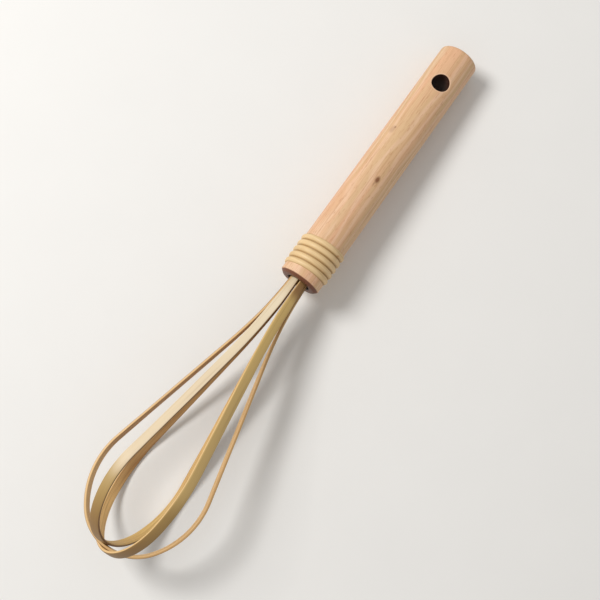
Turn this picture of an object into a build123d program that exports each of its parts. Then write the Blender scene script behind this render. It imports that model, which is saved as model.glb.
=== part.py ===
from build123d import *
import math
import os

# A looped bamboo whisk: a turned wooden handle, a head of three nested strip loops, a round peg
# that holds their six ends in the socket, and a cane binding in a helical seat round the mouth.
#
# It is built along its own axis: +X runs to the tip of the head, x = 0 is the mouth of the handle
# and +Z lies midway between the two upper legs. At the end it is laid down as it rests on a table,
# on the two lower legs and the butt, with z = 0 the table top and the origin under its middle.
# All lengths are in millimetres and all angles in degrees.

# Handle
handle_length = 135.0
handle_diameter = 20.0
butt_diameter = 19.4
butt_rounding = 1.6
mouth_chamfer = 1.3
hanging_hole_diameter = 8.5
hanging_hole_from_butt = 20.0

# Socket in the mouth of the handle
socket_depth = 22.0
countersink_depth = 4.0
countersink_widening = 0.9
tail_to_bore_clearance = 0.15
tail_end_clearance = 0.3

# Bamboo strips
strip_width = 4.6
strip_thickness = 1.4
tail_width = 3.0
tail_to_tail_gap = 0.5
taper_end_beyond_mouth = 14.0

# Loops: how far the innermost reaches past the mouth, how wide they bulge and how they bend. Each leg
# flares from the socket, runs straight for its flank length, rounds a shoulder at its widest place and
# meets the other leg in a tighter crown. The radii of shoulder and crown are shares of the half width.
# A loop's sway is how far its crown has set to one side of the plane that it was bent in.
head_length = 141.0
nesting_gaps = (0.75, 0.25)
inner_half_width = 27.2
middle_half_width = 26.0
outer_half_width = 28.6
flare_start_depth = 8.0
flank_lengths = (59.7, 63.0, 52.9)
shoulder_shares = (1.18, 1.44, 1.89)
crown_shares = (0.956, 0.865, 0.976)
loop_names = ("inner_loop", "middle_loop", "outer_loop")
loop_roll_angles = (120.0, 0.0, 60.0)
loop_sways = (2.6, -0.5, 0.0)
leg_count = 2 * len(loop_names)

# Peg between the six tails
peg_clearance = 0.05
peg_recess = 4.0
peg_lead_chamfer = 0.6

# Cane binding
cane_diameter = 2.85
cane_pitch = 3.25
cane_turns = 5
cane_protrusion = 1.0
cane_start_depth = 4.9
cane_start_angle = -90.0
cane_seat_clearance = 0.05
tuck_bend_radius = 2.9
tuck_turn = 56.0
tuck_length = 2.9
biarcs_per_turn = 2

# How far a cutting tool runs past what it cuts
overrun = 5.0

# Rounds in which the point where a leg touches the table is found
contact_rounds = 8

# Sizes that follow from the ones above
handle_radius = handle_diameter / 2
butt_radius = butt_diameter / 2
half_leg_angle = 180.0 / leg_count
half_thickness = strip_thickness / 2
tail_ring_radius = half_thickness + (tail_width + tail_to_tail_gap) / 2 / math.tan(math.radians(half_leg_angle))
bore_radius = math.hypot(tail_ring_radius + half_thickness, tail_width / 2) + tail_to_bore_clearance
peg_radius = tail_ring_radius - half_thickness - peg_clearance
middle_length = head_length + strip_thickness + nesting_gaps[0]
loop_lengths = (head_length, middle_length, middle_length + strip_thickness + nesting_gaps[1])
cane_radius = cane_diameter / 2
cane_helix_radius = handle_radius + cane_protrusion - cane_radius
binding_end_depth = cane_start_depth + cane_turns * cane_pitch + cane_radius
loop_half_widths = (inner_half_width, middle_half_width, outer_half_width)


# Cane binding


def helix_point(turned):
    """Return the point and the unit tangent of the binding's centre line, turned degrees from its start."""
    angle = math.radians(cane_start_angle - turned)
    along = -cane_start_depth - cane_pitch * turned / 360.0
    point = Vector(along, cane_helix_radius * math.cos(angle), cane_helix_radius * math.sin(angle))
    advance = cane_pitch / (2 * math.pi)
    tangent = Vector(-advance, cane_helix_radius * math.sin(angle), -cane_helix_radius * math.cos(angle))
    return point, tangent.normalized()


def biarc(start, start_tangent, end, end_tangent):
    """Return two arcs that join one point and direction to another with a common tangent."""
    chord = end - start
    tangents = start_tangent + end_tangent
    square = tangents.dot(tangents) - 4.0
    along = chord.dot(tangents)
    reach = (along - math.sqrt(along * along - square * chord.dot(chord))) / square
    first_corner = start + start_tangent * reach
    second_corner = end - end_tangent * reach
    joint = (first_corner + second_corner) * 0.5
    joint_tangent = second_corner - first_corner
    return [
        Edge.make_tangent_arc(start, start_tangent, joint),
        Edge.make_tangent_arc(joint, joint_tangent, end),
    ]


def tuck(point, outward_run):
    """Return the arc and the straight end by which the cane dives from a point on the helix into the wood."""
    inward = Vector(0, -point.Y, -point.Z).normalized()
    bend = math.radians(tuck_turn)
    bend_end = point + (outward_run * math.sin(bend) + inward * (1 - math.cos(bend))) * tuck_bend_radius
    direction = outward_run * math.cos(bend) + inward * math.sin(bend)
    straight_end = bend_end + direction * tuck_length
    return Edge.make_tangent_arc(point, outward_run, bend_end), Edge.make_line(bend_end, straight_end)


def cane_path():
    """Return the edges of the binding's centre line, from the tucked end at the mouth to the other one."""
    total = cane_turns * 360.0
    step = 360.0 / biarcs_per_turn
    first_point, first_tangent = helix_point(0.0)
    last_point, last_tangent = helix_point(total)
    near_arc, near_line = tuck(first_point, first_tangent * -1)
    far_arc, far_line = tuck(last_point, last_tangent)
    edges = [
        Edge.make_line(near_line @ 1, near_line @ 0),
        Edge.make_tangent_arc(near_line @ 0, (near_line % 0) * -1, first_point),
    ]
    for index in range(cane_turns * biarcs_per_turn):
        start, start_tangent = helix_point(index * step)
        end, end_tangent = helix_point((index + 1) * step)
        edges += biarc(start, start_tangent, end, end_tangent)
    edges += [far_arc, far_line]
    return edges


def cane_tube(edges, radius):
    """Return a round tube of the given radius along the binding's centre line."""
    path = Wire(edges)
    start = edges[0] @ 0
    section = Plane(origin=start, z_dir=edges[0] % 0) * Circle(radius)
    return sweep(section, path=path)


def least_gap(edges):
    """Return the least clear distance between stretches of the cane that are half a turn or more apart."""
    samples = []
    travelled = 0.0
    for edge in edges:
        count = max(2, int(edge.length / (cane_radius / 2)))
        samples += [(travelled + edge.length * i / count, edge @ (i / count)) for i in range(count)]
        travelled += edge.length
    half_turn = math.pi * cane_helix_radius
    nearest = min(
        (one - other).length
        for i, (here, one) in enumerate(samples)
        for there, other in samples[i + 1:]
        if there - here > half_turn
    )
    return nearest - cane_diameter


# Handle


def make_handle(cane_edges):
    """Return the turned handle with its socket, its hanging hole and the helical seat of the cane."""
    corner = butt_rounding * (1 - math.sqrt(0.5))
    outline = [
        Line((-handle_length, 0), (-handle_length, butt_radius - butt_rounding)),
        ThreePointArc(
            (-handle_length, butt_radius - butt_rounding),
            (-handle_length + corner, butt_radius - corner),
            (-handle_length + butt_rounding, butt_radius),
        ),
        Polyline(
            (-handle_length + butt_rounding, butt_radius),
            (-binding_end_depth, handle_radius),
            (-mouth_chamfer, handle_radius),
            (0, handle_radius - mouth_chamfer),
            (0, bore_radius + countersink_widening),
            (-countersink_depth, bore_radius),
            (-socket_depth, bore_radius),
            (-socket_depth, 0),
            (-handle_length, 0),
        ),
    ]
    turned = revolve(make_face(Curve() + outline), Axis.X)
    hole = Cylinder(hanging_hole_diameter / 2, handle_diameter + overrun)
    drilled = turned - Pos(-handle_length + hanging_hole_from_butt, 0, 0) * hole
    return drilled - cane_tube(cane_edges, cane_radius + cane_seat_clearance)


# Bamboo loops


def leg_bend(half_width, widest, flank_length, shoulder_radius):
    """Return the radius of a leg's flare and the slope of its straight flank, in radians."""
    run = widest + flare_start_depth
    rise = half_width - tail_ring_radius
    radii = (run * run + rise * rise - flank_length * flank_length) / rise / 2
    return radii - shoulder_radius, math.atan2(run, radii - rise) - math.atan2(flank_length, radii)


def arc_points(centre, radius, start_angle, end_angle):
    """Return the start, middle and end of an arc, with angles in radians from +X."""
    angles = (start_angle, (start_angle + end_angle) / 2, end_angle)
    return [(centre[0] + radius * math.cos(a), centre[1] + radius * math.sin(a)) for a in angles]


def loop_outline(length, half_width, flank_length, shoulder_share, crown_share, offset):
    """Return the edges of one loop's centre line set off outwards, from one tail end to the other."""
    shoulder_radius = half_width * shoulder_share
    crown_radius = half_width * crown_share
    crown_start = math.acos((shoulder_radius - half_width) / (shoulder_radius - crown_radius))
    widest = length - crown_radius - (shoulder_radius - crown_radius) * math.sin(crown_start)
    flare_radius, slope = leg_bend(half_width, widest, flank_length, shoulder_radius)
    right = math.pi / 2
    flare_centre = (-flare_start_depth, tail_ring_radius + flare_radius)
    shoulder_centre = (widest, half_width - shoulder_radius)
    crown_centre = (length - crown_radius, 0)
    turn = right - crown_start
    flare = arc_points(flare_centre, flare_radius - offset, -right, slope - right)
    shoulder = arc_points(shoulder_centre, shoulder_radius + offset, right + slope, turn)
    crown = arc_points(crown_centre, crown_radius + offset, turn, -turn)
    tail_end = (-socket_depth + tail_end_clearance, tail_ring_radius + offset)

    def mirrored(points):
        return [(x, -y) for x, y in reversed(points)]

    return [
        Line(tail_end, flare[0]),
        ThreePointArc(*flare),
        Line(flare[2], shoulder[0]),
        ThreePointArc(*shoulder),
        ThreePointArc(*crown),
        ThreePointArc(*mirrored(shoulder)),
        Line(*mirrored([flare[2], shoulder[0]])),
        ThreePointArc(*mirrored(flare)),
        Line(*mirrored([tail_end, flare[0]])),
    ]


def strip_side(side, length, sway):
    """Return one long side of a strip in plan, from its tail end to past the tip, side being 1 or -1."""
    tail_edge = side * tail_width / 2
    edge = side * strip_width / 2
    far = length + overrun
    drift = sway * ((far - taper_end_beyond_mouth) / (length - taper_end_beyond_mouth)) ** 2
    return [
        Line((-socket_depth - overrun, tail_edge), (-countersink_depth, tail_edge)),
        Line((-countersink_depth, tail_edge), (taper_end_beyond_mouth, edge)),
        Bezier((taper_end_beyond_mouth, edge), ((taper_end_beyond_mouth + far) / 2, edge), (far, edge + drift)),
    ]


def make_loop(index):
    """Return one strip bent into a loop, with its two tails pared narrower for the socket."""
    length = loop_lengths[index]
    half_width = loop_half_widths[index]
    sway = loop_sways[index]
    bend = (length, half_width, flank_lengths[index], shoulder_shares[index], crown_shares[index])
    outer = loop_outline(*bend, half_thickness)
    inner = loop_outline(*bend, -half_thickness)
    caps = [Line(outer[0] @ 0, inner[0] @ 0), Line(outer[-1] @ 1, inner[-1] @ 1)]
    band = extrude(make_face(Curve() + outer + inner + caps), amount=strip_width + abs(sway), both=True)
    sides = [strip_side(1, length, sway), strip_side(-1, length, sway)]
    ends = [Line(sides[0][0] @ 0, sides[1][0] @ 0), Line(sides[0][-1] @ 1, sides[1][-1] @ 1)]
    plan = Plane.XZ * make_face(Curve() + sides[0] + sides[1] + ends)
    pared = band & extrude(plan, amount=half_width + overrun, both=True)
    return Rot(loop_roll_angles[index], 0, 0) * pared


# Peg


def make_peg():
    """Return the round peg between the tails, with a chamfered leading end at the socket's floor."""
    length = socket_depth - peg_recess
    peg = Cylinder(peg_radius, length, rotation=(0, 90, 0))
    leading_rim = peg.edges().group_by(Axis.X)[0]
    return Pos(-socket_depth + length / 2, 0, 0) * chamfer(leading_rim, peg_lead_chamfer)


# How the whisk lies on the table


def lowest(name, laying):
    """Return the height of a part's lowest point once the whisk is turned by laying."""
    return (laying * parts[name]).bounding_box().min.Z


def find_laying():
    """Return the turn that brings the lower legs of the inner and outer loops and the butt to one level."""
    apart = (inner_half_width + outer_half_width) * math.sin(math.radians(half_leg_angle))
    along = handle_length + head_length - outer_half_width
    roll = 0.0
    tilt = 0.0
    for _ in range(contact_rounds):
        laying = Rot(0, -math.degrees(tilt), 0) * Rot(math.degrees(roll), 0, 0)
        butt, right_leg, left_leg = (lowest(name, laying) for name in ("handle", "inner_loop", "outer_loop"))
        roll += (left_leg - right_leg) / apart
        tilt += (butt - (left_leg + right_leg) / 2) / along
    return Rot(0, -math.degrees(tilt), 0) * Rot(math.degrees(roll), 0, 0)


cane_edges = cane_path()
parts = {
    "handle": make_handle(cane_edges),
    "cane_binding": cane_tube(cane_edges, cane_radius),
    "core_peg": make_peg(),
}
for index, name in enumerate(loop_names):
    parts[name] = make_loop(index)

laying = find_laying()
laid = {name: laying * solid for name, solid in parts.items()}
box = laid["handle"].bounding_box()
for solid in laid.values():
    box = box.add(solid.bounding_box())
to_origin = Pos(-box.center().X, -box.center().Y, -box.min.Z)
hole_centre = to_origin * laying * Pos(-handle_length + hanging_hole_from_butt, 0, 0)

os.makedirs("parts", exist_ok=True)
for name, solid in laid.items():
    export_step(to_origin * solid, f"parts/{name}.step")

print(f"mouth centre at {(to_origin * laying).position}, turned by {(to_origin * laying).orientation}")
print(f"hanging hole at {hole_centre.position}, along {Plane(hole_centre).z_dir}")
print(f"lowest points {[round(lowest(name, to_origin * laying), 4) for name in parts]}")
print(f"overall size {box.size}")
print(f"least gap of the cane to itself {least_gap(cane_edges):.3f} mm")
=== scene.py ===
"""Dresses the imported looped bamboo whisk: its pieces, their finishes and a plain stage."""

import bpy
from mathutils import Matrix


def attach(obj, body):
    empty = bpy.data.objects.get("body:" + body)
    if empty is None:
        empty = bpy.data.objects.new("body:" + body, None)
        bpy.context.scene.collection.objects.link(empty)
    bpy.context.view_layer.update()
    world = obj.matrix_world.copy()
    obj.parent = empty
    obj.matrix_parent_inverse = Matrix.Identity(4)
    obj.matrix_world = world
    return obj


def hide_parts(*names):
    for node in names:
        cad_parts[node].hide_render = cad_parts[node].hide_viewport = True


bl_info = {
    "name": "Looped bamboo whisk",
    "version": (1, 0, 0),
    "blender": (4, 5, 0),
    "location": "View3D > Sidebar > Whisk",
    "description": "Makes the pieces and finishes of a looped bamboo whisk round its packed model",
    "category": "Object",
}

import math
from typing import NamedTuple

import bmesh
import bpy
from bpy.props import FloatProperty, FloatVectorProperty, IntProperty, PointerProperty
from mathutils import Euler, Matrix, Vector

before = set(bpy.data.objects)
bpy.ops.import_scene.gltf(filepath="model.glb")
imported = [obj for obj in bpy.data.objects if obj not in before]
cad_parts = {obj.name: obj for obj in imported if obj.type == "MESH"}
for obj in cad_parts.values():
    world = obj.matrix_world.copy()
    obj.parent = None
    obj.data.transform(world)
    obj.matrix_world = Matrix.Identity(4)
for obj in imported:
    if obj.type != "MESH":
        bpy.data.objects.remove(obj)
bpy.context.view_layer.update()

# The whisk's own axes: +X runs to the tip, x = 0 is the mouth of the handle and +Z lies midway
# between the two upper legs. This is how they lie on the table.
MOUTH_CENTRE = Vector((-0.005025525, 0.000006950, 0.018750549))
LYING_TURN = Euler((math.radians(-1.410922), math.radians(-3.898300), 0.0))
LYING = Matrix.Translation(MOUTH_CENTRE) @ LYING_TURN.to_matrix().to_4x4()

MM = 0.001


def tint(red, green, blue):
    """Return a linear colour from red, green and blue as a screen shows them, from 0 to 255."""

    def linear(level):
        share = level / 255
        return share / 12.92 if share <= 0.04045 else ((share + 0.055) / 1.055) ** 2.4

    return (linear(red), linear(green), linear(blue))


def size(label, millimetres, description):
    """Return a length property with its default in millimetres."""
    return FloatProperty(
        name=label,
        description=description,
        default=millimetres * MM,
        min=0.0,
        subtype="DISTANCE",
        unit="LENGTH",
        precision=5,
    )


def colour(label, value, description):
    """Return a colour property."""
    return FloatVectorProperty(
        name=label, description=description, default=value, size=3, min=0.0, max=1.0, subtype="COLOR"
    )


# Sizes and colours


class WhiskHandle(bpy.types.PropertyGroup):
    """The turned handle."""

    length: size("Length", 135.0, "From the butt to the mouth")
    diameter: size("Diameter", 20.0, "At the mouth end")
    butt_diameter: size("Butt diameter", 19.4, "At the butt")
    butt_rounding: size("Butt rounding", 1.6, "Radius of the butt's edge")
    chamfer: size("Mouth chamfer", 1.3, "At the edge of the mouth")
    hole_diameter: size("Hole diameter", 8.5, "Of the hanging hole")
    hole_from_butt: size("Hole from butt", 20.0, "From the butt to the axis of the hanging hole")
    easing: size("Easing", 0.35, "Radius that the rims of the hanging hole are eased to")
    wood: colour("Wood", tint(220, 171, 133), "Colour of the wood between its streaks")
    wood_grey: colour("Greyish wood", tint(211, 174, 130), "Colour of the faint greyish streaks")
    wood_pale: colour("Pale wood", tint(232, 194, 162), "Colour of the pale pink streaks")
    wood_dark: colour("Dark wood", tint(172, 114, 74), "Colour of the grain lines and flecks")
    # Reddish end grain, darkened with painted shade where the cut end and chamfer face away from the light.
    end_wood_and_shade: colour("Cut end", tint(128, 74, 42), "Colour of the reddish end grain round the mouth")
    knot: colour("Knot", tint(120, 70, 34), "Colour of the small knots")


class WhiskCane(bpy.types.PropertyGroup):
    """The cane binding round the mouth of the handle."""

    turns: IntProperty(name="Turns", description="Full turns of the cane", default=5, min=1, max=12)
    start: size("Start", 4.9, "From the mouth to the middle of the first turn")
    pitch: size("Pitch", 3.25, "From one turn to the next")
    width: size("Width", 3.0, "Of the split cane")
    outer_radius: size("Outer radius", 10.97, "From the handle's axis to the crown of the cane")
    cane: colour("Cane", tint(226, 194, 144), "Colour of the crown of the cane")
    # Painted shade in the grooves: the cane's sides darken towards the seat; the same colour draws the cane's
    # fine fibres.
    groove_shade_and_fibres: colour("Groove", tint(160, 126, 76), "Colour of the grooves between the turns")
    stain: colour("Stain", tint(186, 120, 58), "Colour of the small stain on the last turn")


class WhiskStrips(bpy.types.PropertyGroup):
    """The bamboo strips of the head."""

    width: size("Width", 4.6, "Of a strip beyond the socket")
    tail_width: size("Tail width", 3.0, "Of a strip inside the socket")
    thickness: size("Thickness", 1.4, "Of a strip")
    crown: size("Crown", 0.16, "How far the skin side's edges lie below its middle")
    unevenness: size("Unevenness", 0.07, "How far a split edge wanders")


class WhiskStage(bpy.types.PropertyGroup):
    """The floor and the light."""

    floor: colour("Floor", tint(232, 230, 226), "Colour of the floor")


# Node trees


class Wire:
    """An output of a node, so that maths on it can be written as an expression."""

    def __init__(self, tree, socket):
        self.tree = tree
        self.socket = socket

    def math(self, operation, *operands, clamp=False):
        return self.tree.math(operation, self, *operands, clamp=clamp)

    def other(self, name):
        """Return another output of the same node."""
        return Wire(self.tree, self.socket.node.outputs[name])

    def __add__(self, operand):
        return self.math("ADD", operand)

    __radd__ = __add__

    def __mul__(self, operand):
        return self.math("MULTIPLY", operand)

    __rmul__ = __mul__

    def __sub__(self, operand):
        return self.math("SUBTRACT", operand)

    def __rsub__(self, operand):
        return self.tree.math("SUBTRACT", operand, self)

    def __truediv__(self, operand):
        return self.math("DIVIDE", operand)

    def __rtruediv__(self, operand):
        return self.tree.math("DIVIDE", operand, self)

    def __pow__(self, operand):
        return self.math("POWER", operand)

    def __abs__(self):
        return self.math("ABSOLUTE")

    def __neg__(self):
        return self.math("MULTIPLY", -1.0)

    def clamped(self):
        """Return the value held between 0 and 1."""
        return self.math("ADD", 0.0, clamp=True)


class Tree:
    """A node tree under construction, of a material or of geometry."""

    def __init__(self, node_tree):
        self.node_tree = node_tree

    def node(self, kind, settings=None, inputs=None, output=0):
        """Add a node with its settings and inputs, and return one of its outputs."""
        made = self.node_tree.nodes.new(kind)
        made.location = (len(self.node_tree.nodes) * 40, -(len(self.node_tree.nodes) % 12) * 90)
        for name, value in (settings or {}).items():
            setattr(made, name, value)
        for name, value in (inputs or {}).items():
            if isinstance(value, Wire):
                self.node_tree.links.new(value.socket, made.inputs[name])
            else:
                made.inputs[name].default_value = value
        return Wire(self, made.outputs[output]) if made.outputs else None

    def math(self, operation, *operands, clamp=False):
        settings = {"operation": operation, "use_clamp": clamp}
        return self.node("ShaderNodeMath", settings, dict(enumerate(operands)))

    def vector_math(self, operation, *operands, output=0):
        return self.node("ShaderNodeVectorMath", {"operation": operation}, dict(enumerate(operands)), output)

    def combined(self, x, y, z):
        return self.node("ShaderNodeCombineXYZ", None, {"X": x, "Y": y, "Z": z})

    def separated(self, vector):
        first = self.node("ShaderNodeSeparateXYZ", None, {"Vector": vector})
        return first, first.other("Y"), first.other("Z")

    def smooth(self, value, start, end):
        """Return 0 where value is at start, 1 where it is at end, and a smooth step between."""
        settings = {"interpolation_type": "SMOOTHSTEP"}
        return self.node("ShaderNodeMapRange", settings, {"Value": value, "From Min": start, "From Max": end})

    def noise(self, vector, scale, detail=2.0, roughness=0.5):
        inputs = {"Vector": vector, "Scale": scale, "Detail": detail, "Roughness": roughness}
        return self.node("ShaderNodeTexNoise", None, inputs)


# Materials


class Paint(Tree):
    """A material under construction, with one glossy surface shader."""

    def __init__(self, name):
        self.material = bpy.data.materials.new(name)
        self.material.use_nodes = True
        super().__init__(self.material.node_tree)
        self.surface = self.node_tree.nodes["Principled BSDF"]

    def place(self):
        """Return a point of the surface in the whisk's own axes, in metres."""
        return self.node(
            "ShaderNodeMapping",
            {"vector_type": "TEXTURE"},
            {
                "Vector": self.node("ShaderNodeTexCoord", output="Object"),
                "Location": MOUTH_CENTRE,
                "Rotation": LYING_TURN,
            },
        )

    def attribute(self, name):
        return self.node("ShaderNodeAttribute", {"attribute_name": name}, output="Fac")

    def mixed(self, factor, first, second):
        """Return a colour between two colours."""

        def full(value):
            return value if isinstance(value, Wire) else (*value, 1.0)

        made = self.node_tree.nodes.new("ShaderNodeMix")
        made.data_type = "RGBA"
        sockets = [socket for socket in made.inputs if socket.enabled]
        for socket, value in zip(sockets, (factor, full(first), full(second))):
            if isinstance(value, Wire):
                self.node_tree.links.new(value.socket, socket)
            else:
                socket.default_value = value
        return Wire(self, next(socket for socket in made.outputs if socket.enabled))

    def stretched(self, vector, x, y, z):
        return self.vector_math("MULTIPLY", vector, (x, y, z))

    def feed(self, name, value):
        """Link or set one input of the surface shader."""
        if isinstance(value, Wire):
            self.node_tree.links.new(value.socket, self.surface.inputs[name])
        else:
            self.surface.inputs[name].default_value = value

    def bump(self, height, strength, distance):
        """Link a height to the surface shader's normal."""
        inputs = {"Height": height, "Strength": strength, "Distance": distance}
        self.feed("Normal", self.node("ShaderNodeBump", None, inputs))


def handle_wood(sizes):
    """Return the pinkish beech of the handle: streaks, rings, flecks and two knots, with the reddish cut end
    darkened by painted shade, a painted highlight round the hanging hole's rims and painted shade inside the
    hole, on the cane's seat and in the bore.
    """
    paint = Paint("handle_beech")
    place = paint.place()
    x, y, z = paint.separated(place)
    bands = paint.noise(paint.stretched(place, 9.0, 190.0, 190.0), 1.0, 2.0, 0.5)
    drift = paint.noise(paint.stretched(place, 16.0, 70.0, 70.0), 1.0, 2.0, 0.5)
    lines = paint.noise(paint.stretched(place, 40.0, 1500.0, 1500.0), 1.0, 3.0, 0.6)
    flecks = paint.noise(paint.stretched(place, 330.0, 2600.0, 2600.0), 1.0, 1.0, 0.5)
    heart = paint.vector_math("LENGTH", paint.combined(0.0, y - 6.0 * MM, z + 22.0 * MM), output="Value")
    rings = (heart * 3600.0 + drift * 26.0).math("SINE") * 0.5 + 0.5

    wood = paint.mixed(paint.smooth(bands, 0.36, 0.62), sizes.wood, sizes.wood_grey)
    wood = paint.mixed(paint.smooth(rings, 0.45, 1.0) * 0.5, wood, sizes.wood_pale)
    wood = paint.mixed(paint.smooth(lines, 0.45, 0.8) * 0.5, wood, sizes.wood_dark)
    wood = paint.mixed(paint.smooth(flecks, 0.6, 0.74) * 0.45, wood, sizes.wood_dark)

    def spot(centre, stretch, start, end):
        """Return 1 inside a spot on the surface and 0 outside it."""
        off = paint.stretched(paint.vector_math("SUBTRACT", place, centre), *stretch)
        return paint.smooth(paint.vector_math("LENGTH", off, output="Value"), end, start)

    knot_place = (-58.3 * MM, 2.4 * MM, 9.6 * MM)
    trail_place = (-56.3 * MM, 2.0 * MM, 9.6 * MM)
    ring_place = (-83.2 * MM, -5.7 * MM, 7.9 * MM)
    ring_mark_place = (-84.6 * MM, -5.2 * MM, 8.3 * MM)
    knot = spot(knot_place, (0.8, 1.3, 1.3), 0.5 * MM, 2.1 * MM) * 0.9
    trail = spot(trail_place, (0.5, 2.2, 2.2), 0.2 * MM, 1.5 * MM) * 0.45
    ring = spot(ring_place, (0.8, 1.3, 1.3), 0.6 * MM, 2.6 * MM) * 0.3
    ring = ring.math("MAXIMUM", spot(ring_mark_place, (1.0, 1.3, 1.3), 0.2 * MM, 1.1 * MM) * 0.65)
    wood = paint.mixed(knot.math("MAXIMUM", trail.math("MAXIMUM", ring)), wood, sizes.knot)

    hole = paint.vector_math(
        "LENGTH", paint.combined(x + (sizes.length - sizes.hole_from_butt), y, 0.0), output="Value"
    )
    hole_radius = sizes.hole_diameter / 2
    # Painted highlight: a pale band round the rims of the hanging hole, where the eased edges catch the
    # light.
    rim = paint.smooth(hole, hole_radius + 0.8 * MM, hole_radius + 0.3 * MM)
    wood = paint.mixed(rim * 0.5, wood, sizes.wood_pale)
    # Painted shade: the wall inside the hanging hole is dark brown.
    wood = paint.mixed(paint.smooth(hole, hole_radius + 0.12 * MM, hole_radius), wood, tint(66, 34, 20))
    # Painted shade: the seat under the cane, seen between its turns, is darker.
    seat = paint.smooth(x, -20.9 * MM, -20.3 * MM) * paint.smooth(x, -4.9 * MM, -5.5 * MM)
    wood = paint.mixed(seat, wood, tint(166, 130, 82))

    # The reddish end grain of the mouth's chamfer and end face, darkened with painted shade.
    cut_end_with_shade = paint.smooth(x, -sizes.chamfer, -sizes.chamfer + 0.4 * MM)
    wood = paint.mixed(cut_end_with_shade, wood, paint.mixed(lines, sizes.end_wood_and_shade, tint(88, 46, 26)))
    # Painted shade: dark brown in the bore and on the socket's mouth.
    from_axis = paint.vector_math("LENGTH", paint.combined(0.0, y, z), output="Value")
    bore = paint.smooth(from_axis, 6.4 * MM, 5.4 * MM) * paint.smooth(x, -30.0 * MM, -25.0 * MM)
    wood = paint.mixed(bore, wood, tint(40, 27, 17))

    paint.feed("Base Color", wood)
    paint.feed("Specular IOR Level", 0.5)
    paint.feed("Roughness", 0.4 + lines * 0.2)
    paint.bump(lines + flecks * 0.5, 0.22, 0.0002)
    return paint.material


def peg_wood():
    """Return the plain dark wood of the peg between the strip ends."""
    paint = Paint("peg_wood")
    place = paint.place()
    _, y, z = paint.separated(place)
    fibres = paint.noise(paint.stretched(place, 120.0, 1400.0, 1400.0), 1.0, 3.0, 0.6)
    rings = (paint.vector_math("LENGTH", paint.combined(0.0, y, z), output="Value") * 9000.0).math("SINE")
    wood = paint.mixed(fibres, tint(112, 80, 50), tint(82, 56, 34))
    wood = paint.mixed((rings * 0.25 + 0.25).clamped(), wood, tint(70, 46, 28))
    paint.feed("Base Color", wood)
    paint.feed("Roughness", 0.62 + fibres * 0.2)
    paint.bump(fibres, 0.3, 0.0002)
    return paint.material


def cane_skin(sizes):
    """Return the yellow split cane of the binding, with painted shade on the sides of each turn towards the
    grooves.
    """
    paint = Paint("split_cane")
    place = paint.place()
    height = paint.attribute("height")
    fine = paint.noise(paint.stretched(place, 1500.0, 90.0, 90.0), 1.0, 3.0)
    patches = paint.noise(paint.stretched(place, 160.0, 160.0, 160.0), 1.0, 2.0)
    # Painted shade: each turn darkens from its crown down into the grooves.
    cane = paint.mixed(paint.smooth(height, 0.0, 0.8), sizes.groove_shade_and_fibres, sizes.cane)
    cane = paint.mixed(paint.smooth(patches, 0.4, 0.7) * 0.3, cane, tint(206, 172, 118))
    cane = paint.mixed(paint.smooth(fine, 0.45, 0.75) * 0.3, cane, sizes.groove_shade_and_fibres)
    off = paint.vector_math("SUBTRACT", place, (-18.5 * MM, 8.3 * MM, 7.2 * MM))
    stain = paint.smooth(paint.vector_math("LENGTH", off, output="Value"), 1.3 * MM, 0.5 * MM)
    cane = paint.mixed(stain * 0.6, cane, sizes.stain)
    paint.feed("Base Color", cane)
    paint.feed("Roughness", 0.42 + fine * 0.2)
    paint.bump(fine, 0.2, 0.0001)
    return paint.material


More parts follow.
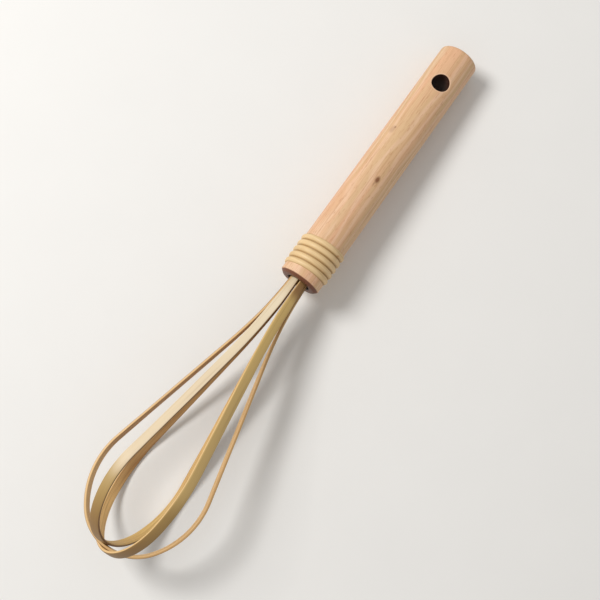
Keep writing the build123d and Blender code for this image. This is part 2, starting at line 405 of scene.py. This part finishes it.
def bamboo(name, tones):
    """Return split bamboo: skin on the outer face, streaked flesh on the inner face and the two edges, with
    painted light: a sheen, shade near the mouth and towards the tip, and lit and shaded copies of the legs'
    flesh and edges.
    """
    paint = Paint(name)
    along = paint.attribute("along")
    across = paint.attribute("across")
    face = paint.attribute("face")
    fibres = paint.noise(paint.combined(along * 20.0, across * 3.4, face * 1.5), 1.0, 3.0, 0.6)
    pores = paint.noise(paint.combined(along * 45.0, across * 6.5, face * 3.0), 1.0, 2.0, 0.6)
    clouds = paint.noise(paint.combined(along * 22.0, across * 0.7, face), 1.0, 2.0, 0.5)

    # The inner loop's whitish skin near the mouth is its skin colour with a painted sheen.
    skin = paint.mixed(paint.smooth(along, 0.05, 0.1), tones["skin_near"], tones["skin"])
    # For the inner loop, the painted sheen ends here and the skin turns olive.
    skin = paint.mixed(paint.smooth(along, 0.129, 0.143), skin, tones["skin_far"])
    # Painted shade: the skin darkens towards the tip, in the line colour.
    skin = paint.mixed(paint.smooth(along, 0.14, 0.166) * 0.8, skin, tones["line"])
    # Painted shade on the skin next to the mouth.
    skin = paint.mixed(paint.smooth(along, 0.033, 0.026), skin, tones["skin_mouth_shade"])
    skin = paint.mixed(paint.smooth(fibres, 0.45, 0.8) * 0.35, skin, tones["line"])
    skin = paint.mixed(paint.smooth(pores, 0.55, 0.75) * 0.15, skin, tones["line"])
    # The second leg's flesh with painted light: shaded for the middle and outer loops, a lit copy for the
    # inner loop.
    flesh = paint.mixed(paint.smooth(along, 0.215, 0.24), tones["flesh"], tones["flesh_far"])
    flesh = paint.mixed(paint.smooth(clouds, 0.35, 0.65) * 0.4, flesh, tones["edge"])
    flesh = paint.mixed(paint.smooth(pores, 0.46, 0.66) * 0.55, flesh, tones["line"])
    # The edges of the two legs as lit and shaded copies: for the middle loop, the first leg's edge is painted
    # in shade.
    edge = paint.mixed(paint.smooth(along, 0.15, 0.2), tones["edge"], tones["edge_far"])
    # Painted shade on the edge that faces away from the light.
    edge = paint.mixed(paint.smooth(across, 0.2, -0.2), edge, tones["painted_shade_edge"])
    edge = paint.mixed(paint.smooth(clouds, 0.4, 0.7) * 0.3, edge, tones["flesh"])
    edge = paint.mixed(paint.smooth(pores, 0.5, 0.8) * 0.35, edge, tones["line"])

    wood = paint.mixed(paint.smooth(face, 0.35, 0.85), edge, skin)
    wood = paint.mixed(paint.smooth(face, -0.35, -0.85), wood, flesh)
    paint.feed("Base Color", wood)
    paint.feed("Roughness", 0.36 + fibres * 0.25)
    paint.bump(pores, 0.2, 0.0001)
    return paint.material


def floor_paint(sizes):
    """Return the plain pale floor."""
    paint = Paint("pale_floor")
    grain = paint.noise(paint.node("ShaderNodeTexCoord", output="Object"), 35.0, 4.0)
    paler = tuple(min(1.0, level * 1.03) for level in sizes.floor)
    paint.feed("Base Color", paint.mixed(grain, sizes.floor, paler))
    paint.feed("Roughness", 0.8)
    return paint.material


# Geometry trees


def geometry_tree(name, sockets):
    """Return a new geometry tree with named inputs, and its group input node."""
    group = bpy.data.node_groups.new(name, "GeometryNodeTree")
    group.is_modifier = True
    group.interface.new_socket("Geometry", in_out="OUTPUT", socket_type="NodeSocketGeometry")
    for label, kind in sockets:
        group.interface.new_socket(label, in_out="INPUT", socket_type=kind)
    tree = Tree(group)
    first = tree.node("NodeGroupInput")
    return tree, first


def finish_tree(tree, geometry, material):
    """End a geometry tree with real geometry in one material."""
    geometry = tree.node("GeometryNodeSetShadeSmooth", None, {0: geometry})
    geometry = tree.node("GeometryNodeRealizeInstances", None, {0: geometry})
    geometry = tree.node("GeometryNodeSetMaterial", None, {"Geometry": geometry, "Material": material})
    tree.node("NodeGroupOutput", None, {0: geometry})


def captured(tree, geometry, **values):
    """Capture fields on the points of a geometry, and return it with the captured fields."""
    made = tree.node_tree.nodes.new("GeometryNodeCaptureAttribute")
    tree.node_tree.links.new(geometry.socket, made.inputs[0])
    for index, (name, (kind, value)) in enumerate(values.items()):
        made.capture_items.new(kind, name)
        tree.node_tree.links.new(value.socket, made.inputs[index + 1])
    return [Wire(tree, made.outputs[index]) for index in range(len(values) + 1)]


def stored(tree, geometry, name, value):
    """Store a number on the points of a geometry under a name."""
    return tree.node(
        "GeometryNodeStoreNamedAttribute",
        {"data_type": "FLOAT", "domain": "POINT"},
        {"Geometry": geometry, "Name": name, "Value": value},
    )


def section(tree, points):
    """Return a circle of radius 1 to sweep along a rail, and the place on it as a field."""
    inputs = {"Resolution": points, "Radius": 1.0}
    ring = tree.node("GeometryNodeCurvePrimitiveCircle", {"mode": "RADIUS"}, inputs)
    return captured(tree, ring, corner=("VECTOR", tree.node("GeometryNodeInputPosition")))


def signed_power(value, exponent):
    """Return a value's power with the value's own sign."""
    return value.math("SIGN") * abs(value) ** exponent


# A strip's section lies between a round one at 1 and a square one at 0
EDGE_ROUNDNESS = 0.3

# The twist of a leg and of a crown, as shares of the strip's length: how far from the tip the leg's
# twist is greatest, and how far each fades out from its greatest
LEG_TWIST_FROM_TIP = 0.2
LEG_TWIST_SPREAD = 0.19
CROWN_TWIST_SPREAD = 0.12

# What the cane's underside sinks below its seat
CANE_SINK = 0.35 * MM

FLOAT = "NodeSocketFloat"
STRIP_INPUTS = (
    ("Rail", "NodeSocketGeometry"),
    ("Width", FLOAT),
    ("Tail Width", FLOAT),
    ("Thickness", FLOAT),
    ("Crown", FLOAT),
    ("Taper Start", FLOAT),
    ("Taper End", FLOAT),
    ("Reach", FLOAT),
    ("Sway", FLOAT),
    ("Unevenness", FLOAT),
    ("First Twist", FLOAT),
    ("Crown Twist", FLOAT),
    ("Crown Centre", FLOAT),
    ("Second Twist", FLOAT),
    ("Seed", FLOAT),
    ("Material", "NodeSocketMaterial"),
)


def strip_tree():
    """Return the tree that rounds a rail's corners and runs a split bamboo strip along it."""
    tree, given = geometry_tree("bamboo_strip", STRIP_INPUTS)
    rail = tree.node(
        "GeometryNodeFilletCurve",
        {"mode": "POLY"},
        {
            "Curve": given.other("Rail"),
            "Count": 40,
            "Radius": tree.node("GeometryNodeInputRadius"),
            "Limit Radius": False,
        },
    )
    rail = tree.node("GeometryNodeResampleCurve", {"mode": "LENGTH"}, {"Curve": rail, "Length": 0.8 * MM})
    parameter = tree.node("GeometryNodeSplineParameter")
    rail, place, forward, travelled, part = captured(
        tree,
        rail,
        place=("VECTOR", tree.node("GeometryNodeInputPosition")),
        forward=("VECTOR", tree.node("GeometryNodeInputTangent")),
        travelled=("FLOAT", parameter.other("Length")),
        part=("FLOAT", parameter.other("Factor")),
    )
    ring, corner = section(tree, 32)
    swept = tree.node(
        "GeometryNodeCurveToMesh", None, {"Curve": rail, "Profile Curve": ring, "Fill Caps": True}
    )
    turn_x, turn_y, _ = tree.separated(corner)
    across = signed_power(turn_x, EDGE_ROUNDNESS)
    face = signed_power(turn_y, EDGE_ROUNDNESS)
    x, _, _ = tree.separated(place)
    pared = (x - given.other("Taper Start")) / (given.other("Taper End") - given.other("Taper Start"))
    pared = pared.clamped()
    width = given.other("Tail Width") + (given.other("Width") - given.other("Tail Width")) * pared
    wander = tree.node(
        "ShaderNodeTexNoise",
        {"noise_dimensions": "2D"},
        {
            "Vector": tree.combined(travelled * 45.0, across * 0.6 + given.other("Seed"), 0.0),
            "Scale": 1.0,
            "Detail": 2.0,
        },
    )
    uneven = (wander - 0.5) * 2.0 * given.other("Unevenness") * pared
    side = across * (width / 2.0) + uneven * abs(across)
    lowered = across * across * face.math("MAXIMUM", 0.0) * given.other("Crown")
    rise = face * (given.other("Thickness") / 2.0) - lowered
    from_tip = abs(part - 0.5)
    off_leg = abs((from_tip - LEG_TWIST_FROM_TIP) / LEG_TWIST_SPREAD)
    off_crown = (part - given.other("Crown Centre")) / CROWN_TWIST_SPREAD
    on_leg = (1.0 - off_leg ** 4.0).math("MAXIMUM", 0.0)
    on_crown = (1.0 - off_crown ** 2.0).math("MAXIMUM", 0.0)
    second = tree.smooth(part, 0.4, 0.6)
    twist = (given.other("First Twist") * (1.0 - second) + given.other("Second Twist") * second) * on_leg
    twist = twist + given.other("Crown Twist") * on_crown
    cosine = twist.math("COSINE")
    sine = twist.math("SINE")
    outward = tree.vector_math("CROSS_PRODUCT", (0.0, 0.0, 1.0), forward)
    leaning = (x - given.other("Taper End")) / (given.other("Reach") - given.other("Taper End"))
    leaning = leaning.math("MAXIMUM", 0.0)
    sideways = side * cosine + rise * sine + given.other("Sway") * leaning * leaning
    off = rise * cosine - side * sine
    outer = tree.node(
        "ShaderNodeVectorMath", {"operation": "SCALE"}, {"Vector": outward, "Scale": off}
    )
    shifted = tree.vector_math("ADD", place, outer)
    shifted = tree.vector_math("ADD", shifted, tree.combined(0.0, 0.0, sideways))
    strip = tree.node("GeometryNodeSetPosition", None, {"Geometry": swept, "Position": shifted})
    strip = stored(tree, strip, "along", travelled)
    strip = stored(tree, strip, "across", across)
    strip = stored(tree, strip, "face", face)
    finish_tree(tree, strip, given.other("Material"))
    return tree.node_tree


CANE_INPUTS = (
    ("Rail", "NodeSocketGeometry"),
    ("Turns", FLOAT),
    ("Pitch", FLOAT),
    ("Width", FLOAT),
    ("Height", FLOAT),
    ("Seat Radius", FLOAT),
    ("Start", FLOAT),
    ("Start Angle", FLOAT),
    ("Tuck", FLOAT),
    ("Tuck Depth", FLOAT),
    ("Material", "NodeSocketMaterial"),
)


def cane_tree():
    """Return the tree that winds half-round cane round the handle and tucks both ends into the wood."""
    tree, given = geometry_tree("cane_winding", CANE_INPUTS)
    inputs = {"Curve": given.other("Rail"), "Count": 900}
    rail = tree.node("GeometryNodeResampleCurve", {"mode": "COUNT"}, inputs)
    part = tree.node("GeometryNodeSplineParameter").other("Factor")
    angle = given.other("Start Angle") - part * given.other("Turns") * (2 * math.pi)
    nearest = part.math("MINIMUM", 1.0 - part) * given.other("Turns") * (2 * math.pi)
    tuck = tree.smooth(nearest, given.other("Tuck"), 0.0)
    radius = given.other("Seat Radius") - tuck * given.other("Tuck Depth")
    point = tree.combined(
        -given.other("Start") - part * given.other("Turns") * given.other("Pitch"),
        angle.math("COSINE") * radius,
        angle.math("SINE") * radius,
    )
    rail = tree.node("GeometryNodeSetPosition", None, {"Geometry": rail, "Position": point})
    outward = tree.combined(0.0, angle.math("COSINE"), angle.math("SINE"))
    rail, place, out, travelled = captured(
        tree,
        rail,
        place=("VECTOR", tree.node("GeometryNodeInputPosition")),
        out=("VECTOR", outward),
        travelled=("FLOAT", part),
    )
    ring, corner = section(tree, 20)
    swept = tree.node(
        "GeometryNodeCurveToMesh", None, {"Curve": rail, "Profile Curve": ring, "Fill Caps": True}
    )
    turn_x, turn_y, _ = tree.separated(corner)
    crown = turn_y.math("MAXIMUM", 0.0)
    base = turn_y.math("MINIMUM", 0.0)
    rise = crown * given.other("Height") + base * CANE_SINK
    aside = turn_x * (given.other("Width") / 2.0)
    offset = tree.node("ShaderNodeVectorMath", {"operation": "SCALE"}, {"Vector": out, "Scale": rise})
    shifted = tree.vector_math("ADD", tree.vector_math("ADD", place, offset), tree.combined(aside, 0.0, 0.0))
    cane = tree.node("GeometryNodeSetPosition", None, {"Geometry": swept, "Position": shifted})
    cane = stored(tree, cane, "height", crown)
    cane = stored(tree, cane, "along", travelled)
    cane = stored(tree, cane, "across", turn_x)
    finish_tree(tree, cane, given.other("Material"))
    return tree.node_tree


# Pieces


def rail_object(name, points, radii):
    """Return a curve object of straight runs, whose corners carry the radii that they are rounded to."""
    data = bpy.data.curves.new(name, "CURVE")
    data.dimensions = "3D"
    spline = data.splines.new("POLY")
    spline.points.add(len(points) - 1)
    for target, point, radius in zip(spline.points, points, radii):
        target.co = (*point, 1.0)
        target.radius = radius
    rail = bpy.data.objects.new(name, data)
    bpy.context.scene.collection.objects.link(rail)
    return rail


def made_by(tree, rail, name, turn, **values):
    """Run a geometry tree on a rail and return the result as a plain mesh, laid on the table."""
    modifier = rail.modifiers.new(tree.name, "NODES")
    modifier.node_group = tree
    identifiers = {item.name: item.identifier for item in tree.interface.items_tree if item.in_out == "INPUT"}
    for label, value in values.items():
        modifier[identifiers[label.replace("_", " ").title()]] = value
    bpy.context.view_layer.update()
    evaluated = rail.evaluated_get(bpy.context.evaluated_depsgraph_get())
    mesh = bpy.data.meshes.new_from_object(evaluated)
    rail.modifiers.remove(modifier)
    bpy.data.objects.remove(rail)
    if not mesh.polygons:
        raise RuntimeError(f"the tree made no faces for {name}")
    shell = bmesh.new()
    shell.from_mesh(mesh)
    bmesh.ops.remove_doubles(shell, verts=shell.verts, dist=1e-7)
    bmesh.ops.recalc_face_normals(shell, faces=shell.faces)
    shell.to_mesh(mesh)
    shell.free()
    mesh.transform(LYING @ turn)
    mesh.name = name
    piece = bpy.data.objects.new(name, mesh)
    bpy.context.scene.collection.objects.link(piece)
    return piece


# Fixed sizes, in millimetres and degrees
SOCKET_DEPTH = 22.0
BORE_RADIUS = 4.828
COUNTERSINK_DEPTH = 4.0
COUNTERSINK_WIDENING = 0.9
TAIL_END_CLEARANCE = 0.3
TAIL_RING_RADIUS = 0.7 + 1.75 / math.tan(math.radians(30.0))
FLARE_START_DEPTH = 8.0
TAPER_START = -4.0
TAPER_END = 14.0
CANE_SEAT_RADIUS = 9.5
CANE_START_ANGLE = -90.0
CANE_TUCK_ANGLE = 20.0
CANE_TUCK_DEPTH = 1.6
WALL_TAPER_START = -22.0
HOLE_PATCH = 7.0
HOLE_PATCH_STEPS = 16
SIDE_STEPS = 28
MOUTH_EASE = 0.25
MOUTH_EDGE_RADIUS = 0.6


class Loop(NamedTuple):
    """A loop's sizes past the mouth in millimetres and its angles in degrees."""

    reach: float
    half_width: float
    flank: float
    shoulder: float
    crown: float
    roll: float
    sway: float
    first_twist: float
    crown_twist: float
    second_twist: float
    # The share of the strip's length that the twist of its crown is centred on
    crown_centre: float


LOOPS = {
    "inner": Loop(
        reach=141.5,
        half_width=27.2,
        flank=59.7,
        shoulder=32.1,
        crown=26.0,
        roll=120.0,
        sway=2.8,
        first_twist=0.0,
        crown_twist=-11.0,
        second_twist=0.0,
        crown_centre=0.45,
    ),
    "middle": Loop(
        reach=142.9,
        half_width=25.4,
        flank=63.5,
        shoulder=37.5,
        crown=22.0,
        roll=0.0,
        sway=-2.0,
        first_twist=-14.0,
        crown_twist=-6.0,
        second_twist=-12.0,
        crown_centre=0.58,
    ),
    "outer": Loop(
        reach=144.3,
        half_width=28.6,
        flank=52.9,
        shoulder=54.05,
        crown=27.9,
        roll=60.0,
        sway=0.0,
        first_twist=0.0,
        crown_twist=0.0,
        second_twist=0.0,
        crown_centre=0.5,
    ),
}


def loop_rail(loop):
    """Return the corners of a loop's centre line and the radii that they are rounded to, in metres."""
    reach, half_width, flank, shoulder, crown = loop[:5]
    crown_start = math.acos((shoulder - half_width) / (shoulder - crown))
    widest = reach - crown - (shoulder - crown) * math.sin(crown_start)
    run = widest + FLARE_START_DEPTH
    rise = half_width - TAIL_RING_RADIUS
    radii = (run * run + rise * rise - flank * flank) / rise / 2
    slope = math.atan2(run, radii - rise) - math.atan2(flank, radii)
    flare = radii - shoulder
    bend = (slope + crown_start) / 2
    heading = (slope - crown_start) / 2
    leg = [
        (-SOCKET_DEPTH + TAIL_END_CLEARANCE, TAIL_RING_RADIUS, 0.0),
        (-FLARE_START_DEPTH + flare * math.tan(slope / 2), TAIL_RING_RADIUS, flare),
        (
            widest - shoulder * math.sin(heading) / math.cos(bend),
            half_width - shoulder + shoulder * math.cos(heading) / math.cos(bend),
            shoulder,
        ),
        (reach, crown * math.tan(math.pi / 4 - crown_start / 2), crown),
    ]
    corners = leg + [(x, -y, radius) for x, y, radius in reversed(leg)]
    return [(x * MM, y * MM, 0.0) for x, y, _ in corners], [radius * MM for _, _, radius in corners]


# Tones of each loop. The tones near the mouth, of the far flesh, of the two legs' edges and of the edge
# facing away from the light are painted light and shade; the inner loop's whitish skin near the mouth carries
# a painted sheen.
BAMBOO = {
    "inner": {
        "skin_mouth_shade": tint(208, 188, 154),
        # Whitish skin: skin colour with a painted sheen, near the mouth and along the upper leg.
        "skin_near": tint(216, 199, 169),
        "skin": tint(219, 199, 166),
        "skin_far": tint(176, 146, 88),
        "flesh": tint(208, 174, 108),
        "flesh_far": tint(216, 176, 112),
        "edge": tint(198, 158, 98),
        "edge_far": tint(198, 158, 98),
        "painted_shade_edge": tint(104, 68, 34),
        "line": tint(140, 102, 54),
    },
    "middle": {
        "skin_mouth_shade": tint(140, 104, 60),
        "skin_near": tint(206, 170, 110),
        "skin": tint(200, 162, 102),
        "skin_far": tint(190, 150, 92),
        "flesh": tint(218, 180, 124),
        "flesh_far": tint(172, 124, 72),
        # The middle loop's first leg's edge is a shaded copy of the second leg's lit edge.
        "edge": tint(188, 147, 94),
        "edge_far": tint(224, 186, 130),
        "painted_shade_edge": tint(160, 118, 70),
        "line": tint(134, 94, 50),
    },
    "outer": {
        "skin_mouth_shade": tint(146, 108, 62),
        "skin_near": tint(202, 170, 104),
        "skin": tint(195, 164, 104),
        "skin_far": tint(164, 132, 76),
        "flesh": tint(220, 180, 118),
        "flesh_far": tint(148, 101, 53),
        "edge": tint(218, 182, 124),
        "edge_far": tint(224, 184, 128),
        "painted_shade_edge": tint(124, 90, 46),
        "line": tint(132, 96, 50),
    },
}


class WHISK_OT_loops(bpy.types.Operator):
    """Bend the three bamboo strips into loops"""

    bl_idname = "whisk.loops"
    bl_label = "Bamboo loops"

    def execute(self, context):
        sizes = context.scene.whisk_strips
        tree = strip_tree()
        for index, (name, loop) in enumerate(LOOPS.items()):
            points, radii = loop_rail(loop)
            piece = made_by(
                tree,
                rail_object(f"{name}_rail", points, radii),
                f"{name}_bamboo_loop",
                Matrix.Rotation(math.radians(loop.roll), 4, "X"),
                width=sizes.width,
                tail_width=sizes.tail_width,
                thickness=sizes.thickness,
                crown=sizes.crown,
                taper_start=TAPER_START * MM,
                taper_end=TAPER_END * MM,
                reach=loop.reach * MM,
                sway=loop.sway * MM,
                unevenness=sizes.unevenness,
                first_twist=math.radians(loop.first_twist),
                crown_twist=math.radians(loop.crown_twist),
                crown_centre=loop.crown_centre,
                second_twist=math.radians(loop.second_twist),
                seed=float(index * 7 + 3),
                material=bamboo(f"{name}_bamboo", BAMBOO[name]),
            )
            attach(piece, "root")
            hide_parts(f"{name}_loop")
        return {"FINISHED"}


class WHISK_OT_cane(bpy.types.Operator):
    """Wind the cane binding round the mouth of the handle"""

    bl_idname = "whisk.cane"
    bl_label = "Cane binding"

    def execute(self, context):
        sizes = context.scene.whisk_cane
        piece = made_by(
            cane_tree(),
            rail_object("cane_rail", [(0.0, 0.0, 0.0), (1.0, 0.0, 0.0)], [1.0, 1.0]),
            "cane_winding",
            Matrix.Identity(4),
            turns=float(sizes.turns),
            pitch=sizes.pitch,
            width=sizes.width,
            height=sizes.outer_radius - CANE_SEAT_RADIUS * MM,
            seat_radius=CANE_SEAT_RADIUS * MM,
            start=sizes.start,
            start_angle=math.radians(CANE_START_ANGLE),
            tuck=math.radians(CANE_TUCK_ANGLE),
            tuck_depth=CANE_TUCK_DEPTH * MM,
            material=cane_skin(sizes),
        )
        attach(piece, "root")
        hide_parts("cane_binding")
        return {"FINISHED"}


def arc(centre_x, centre_r, radius, first, last, steps):
    """Return points of an arc of a turned profile, with its angles in degrees from the +x direction."""
    angles = [math.radians(first + (last - first) * step / steps) for step in range(steps + 1)]
    return [(centre_x + radius * math.cos(a), centre_r + radius * math.sin(a)) for a in angles]


def spaced(first, last, steps):
    """Return evenly spaced numbers from first to last."""
    return [first + (last - first) * step / steps for step in range(steps + 1)]


class Turning:
    """The mesh of a turned handle, made of sheets of points whose shared borders are merged."""

    def __init__(self, sizes):
        self.sizes = sizes
        self.shell = bmesh.new()
        self.hole_x = sizes.hole_from_butt - sizes.length
        self.patch = HOLE_PATCH * MM

    def radius(self, x):
        """Return the radius of the handle's wall, which tapers from the cane binding to the butt."""
        start = WALL_TAPER_START * MM
        part = min(1.0, (x - start) / (-self.sizes.length - start) if x < start else 0.0)
        return (self.sizes.diameter + (self.sizes.butt_diameter - self.sizes.diameter) * part) / 2

    def on_wall(self, x, aside, side):
        """Return the point of the wall at x and a distance aside from the hole's axis, above or below."""
        angle = math.asin(aside / self.radius(self.hole_x))
        return Vector((x, self.radius(x) * math.sin(angle), side * self.radius(x) * math.cos(angle)))

    def sheet(self, rows):
        """Join rows of points by four-sided faces."""
        made = [[self.shell.verts.new(point) for point in row] for row in rows]
        for row, following in zip(made, made[1:]):
            for a, b, c, d in zip(row, row[1:], following[1:], following):
                self.shell.faces.new((a, b, c, d))

    def angles(self):
        """Return the angles round the handle at which the wall has points, from the top and back to it."""
        limit = math.asin(self.patch / self.radius(self.hole_x))
        offsets = spaced(-self.patch, self.patch, HOLE_PATCH_STEPS)
        over = [math.asin(y / self.radius(self.hole_x)) for y in offsets]
        right = spaced(limit, math.pi - limit, SIDE_STEPS)
        return over, right, [math.pi + a for a in over], [-a for a in reversed(right)]

    def turned(self, profile):
        """Add the surface of a turned profile of points (x, radius)."""
        over, right, under, left = self.angles()
        round_angles = over + right[1:] + under[1:] + left[1:]
        self.sheet([[(x, r * math.sin(a), r * math.cos(a)) for a in round_angles] for x, r in profile])

    def sides(self):
        """Add the wall beside the hole's two patches."""
        _, right, _, left = self.angles()
        stations = spaced(self.hole_x - self.patch, self.hole_x + self.patch, HOLE_PATCH_STEPS)
        for side_angles in (right, left):
            self.sheet(
                [
                    [(x, self.radius(x) * math.sin(a), self.radius(x) * math.cos(a)) for a in side_angles]
                    for x in stations
                ]
            )

    def hole(self):
        """Add the wall round the hole's ends, its eased rims and the wall inside it."""
        offsets = spaced(-self.patch, self.patch, HOLE_PATCH_STEPS)[:-1]
        border = [(-self.patch, y) for y in offsets] + [(x, self.patch) for x in offsets]
        border += [(self.patch, -y) for y in offsets] + [(-x, -self.patch) for x in offsets]
        hole_radius = self.sizes.hole_diameter / 2
        easing = self.sizes.easing
        outer = hole_radius + easing
        rings = {1: [], -1: []}
        for side in (1, -1):
            for share_in in spaced(0.0, 1.0, 8):
                ring = []
                for x, y in border:
                    scale = outer / math.hypot(x, y)
                    near = 1 - (1 - scale) * share_in
                    ring.append(self.on_wall(self.hole_x + x * near, y * near, side))
                rings[side].append(ring)
            edge = rings[side][-1]
            for angle in spaced(0.0, 90.0, 6)[1:]:
                turn = math.radians(angle)
                shrink = (hole_radius + easing * (1 - math.sin(turn))) / outer
                sunk = easing * (1 - math.cos(turn))
                ring = [
                    Vector((self.hole_x + (p.x - self.hole_x) * shrink, p.y * shrink, p.z - side * sunk))
                    for p in edge
                ]
                rings[side].append(ring)
            self.sheet([ring + ring[:1] for ring in rings[side]])
        top, bottom = rings[1][-1], rings[-1][-1]
        inside = [[a.lerp(b, part) for a, b in zip(top, bottom)] for part in spaced(0.0, 1.0, 12)]
        self.sheet([ring + ring[:1] for ring in inside])

    def finished(self, name):
        """Return the closed mesh with its faces outward, laid on the table."""
        bmesh.ops.remove_doubles(self.shell, verts=self.shell.verts, dist=1e-6)
        bmesh.ops.recalc_face_normals(self.shell, faces=self.shell.faces)
        loose = [edge for edge in self.shell.edges if len(edge.link_faces) != 2]
        if loose:
            raise RuntimeError(f"{len(loose)} edges of {name} are open")
        for face in self.shell.faces:
            face.smooth = True
        mesh = bpy.data.meshes.new(name)
        self.shell.to_mesh(mesh)
        self.shell.free()
        mesh.transform(LYING)
        return mesh


class WHISK_OT_handle(bpy.types.Operator):
    """Turn the handle, drill and ease its hanging hole, and finish the peg in its socket"""

    bl_idname = "whisk.handle"
    bl_label = "Handle"

    def execute(self, context):
        sizes = context.scene.whisk_handle
        turning = Turning(sizes)
        butt = -sizes.length
        rounding = sizes.butt_rounding
        end_radius = turning.radius(butt)
        wall_start = turning.hole_x - turning.patch
        wall_end = turning.hole_x + turning.patch
        flat = end_radius - rounding
        profile = [(butt, 0.0), (butt, flat * 0.5), (butt, flat * 0.9), (butt, flat * 0.99)]
        profile += arc(butt + rounding, end_radius - rounding, rounding, 180.0, 90.0, 10)
        profile += [(x, turning.radius(x)) for x in spaced(butt + rounding * 1.1, wall_start, 6)]
        turning.turned(profile)
        turning.sides()
        turning.hole()
        rim = sizes.diameter / 2
        chamfer = sizes.chamfer
        bore = BORE_RADIUS * MM
        mouth = (BORE_RADIUS + COUNTERSINK_WIDENING) * MM
        ease = MOUTH_EASE * MM
        edge = MOUTH_EDGE_RADIUS * MM
        profile = [(x, turning.radius(x)) for x in spaced(wall_end, -chamfer - ease, 60)]
        profile += arc(-chamfer - ease, rim - edge, edge, 90.0, 45.0, 4)[1:]
        profile += [(-0.35 * MM, rim - chamfer + 0.15 * MM), (-0.1 * MM, rim - chamfer - 0.1 * MM)]
        profile += [(0.0, rim - chamfer - 0.3 * MM), (0.0, mouth + 0.3 * MM), (-0.05 * MM, mouth)]
        profile += [(-0.3 * MM, mouth - 0.1 * MM), (-COUNTERSINK_DEPTH * MM, bore)]
        profile += [(-SOCKET_DEPTH * MM + 0.1 * MM, bore), (-SOCKET_DEPTH * MM, bore - 0.1 * MM)]
        profile += [(-SOCKET_DEPTH * MM, 0.0)]
        turning.turned(profile)
        mesh = turning.finished("turned_handle")
        mesh.materials.append(handle_wood(sizes))
        piece = bpy.data.objects.new("turned_handle", mesh)
        context.scene.collection.objects.link(piece)
        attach(piece, "root")
        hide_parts("handle")
        peg = peg_wood()
        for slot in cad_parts["core_peg"].material_slots:
            slot.material = peg
        return {"FINISHED"}


# The stage, in metres and watts, with the camera's turn in degrees and its lens in millimetres
FLOOR_REACH = 3.0
ROOM_COLOUR = (1.0, 0.99, 0.98, 1.0)
ROOM_STRENGTH = 0.48
WINDOW_PLACE = Vector((0.05, -0.75, 0.95))
WINDOW_POWER = 10.5
WINDOW_WIDTH = 0.45
CAMERA_PLACE = (0.0629836, 0.0312251, 0.4948034)
CAMERA_TURN = (7.843001, -1.731441, 125.086886)
CAMERA_LENS = 63.72
CAMERA_SENSOR = 36.0
CAMERA_NEAR = 0.01


class WHISK_OT_stage(bpy.types.Operator):
    """Set the pale floor, the soft light and the camera"""

    bl_idname = "whisk.stage"
    bl_label = "Floor, light and camera"

    def execute(self, context):
        floor = bpy.data.meshes.new("floor")
        corners = ((-1, -1), (1, -1), (1, 1), (-1, 1))
        floor.from_pydata([(x * FLOOR_REACH, y * FLOOR_REACH, 0.0) for x, y in corners], [], [(0, 1, 2, 3)])
        floor.materials.append(floor_paint(context.scene.whisk_stage))
        ground = bpy.data.objects.new("floor", floor)
        context.scene.collection.objects.link(ground)

        world = bpy.data.worlds.new("pale_room")
        world.use_nodes = True
        background = world.node_tree.nodes["Background"]
        background.inputs["Color"].default_value = ROOM_COLOUR
        background.inputs["Strength"].default_value = ROOM_STRENGTH
        context.scene.world = world

        data = bpy.data.lights.new("window", "AREA")
        data.shape = "DISK"
        data.size = WINDOW_WIDTH
        data.energy = WINDOW_POWER
        window = bpy.data.objects.new("window", data)
        window.location = WINDOW_PLACE
        window.rotation_euler = (-WINDOW_PLACE).to_track_quat("-Z", "Y").to_euler()
        context.scene.collection.objects.link(window)

        data = bpy.data.cameras.new("camera")
        data.lens = CAMERA_LENS
        data.sensor_width = CAMERA_SENSOR
        data.clip_start = CAMERA_NEAR
        camera = bpy.data.objects.new("camera", data)
        camera.location = CAMERA_PLACE
        camera.rotation_euler = [math.radians(turn) for turn in CAMERA_TURN]
        context.scene.collection.objects.link(camera)
        context.scene.camera = camera
        context.scene.view_settings.view_transform = "Standard"
        return {"FINISHED"}


class WHISK_PT_panel(bpy.types.Panel):
    """The whisk's pieces"""

    bl_idname = "WHISK_PT_panel"
    bl_label = "Looped whisk"
    bl_space_type = "VIEW_3D"
    bl_region_type = "UI"
    bl_category = "Whisk"

    def draw(self, context):
        for name, operator in (
            ("whisk_handle", WHISK_OT_handle),
            ("whisk_cane", WHISK_OT_cane),
            ("whisk_strips", WHISK_OT_loops),
            ("whisk_stage", WHISK_OT_stage),
        ):
            box = self.layout.box()
            sizes = getattr(context.scene, name)
            for key in sizes.__annotations__:
                box.prop(sizes, key)
            box.operator(operator.bl_idname)


GROUPS = {
    "whisk_handle": WhiskHandle,
    "whisk_cane": WhiskCane,
    "whisk_strips": WhiskStrips,
    "whisk_stage": WhiskStage,
}
OPERATORS = (WHISK_OT_handle, WHISK_OT_cane, WHISK_OT_loops, WHISK_OT_stage)


def register():
    for name, group in GROUPS.items():
        bpy.utils.register_class(group)
        setattr(bpy.types.Scene, name, PointerProperty(type=group))
    for operator in OPERATORS:
        bpy.utils.register_class(operator)
    bpy.utils.register_class(WHISK_PT_panel)


def unregister():
    bpy.utils.unregister_class(WHISK_PT_panel)
    for operator in reversed(OPERATORS):
        bpy.utils.unregister_class(operator)
    for name, group in reversed(GROUPS.items()):
        delattr(bpy.types.Scene, name)
        bpy.utils.unregister_class(group)


def main():
    register()
    bpy.ops.whisk.handle()
    bpy.ops.whisk.cane()
    bpy.ops.whisk.loops()
    bpy.ops.whisk.stage()


if __name__ == "__main__":
    main()
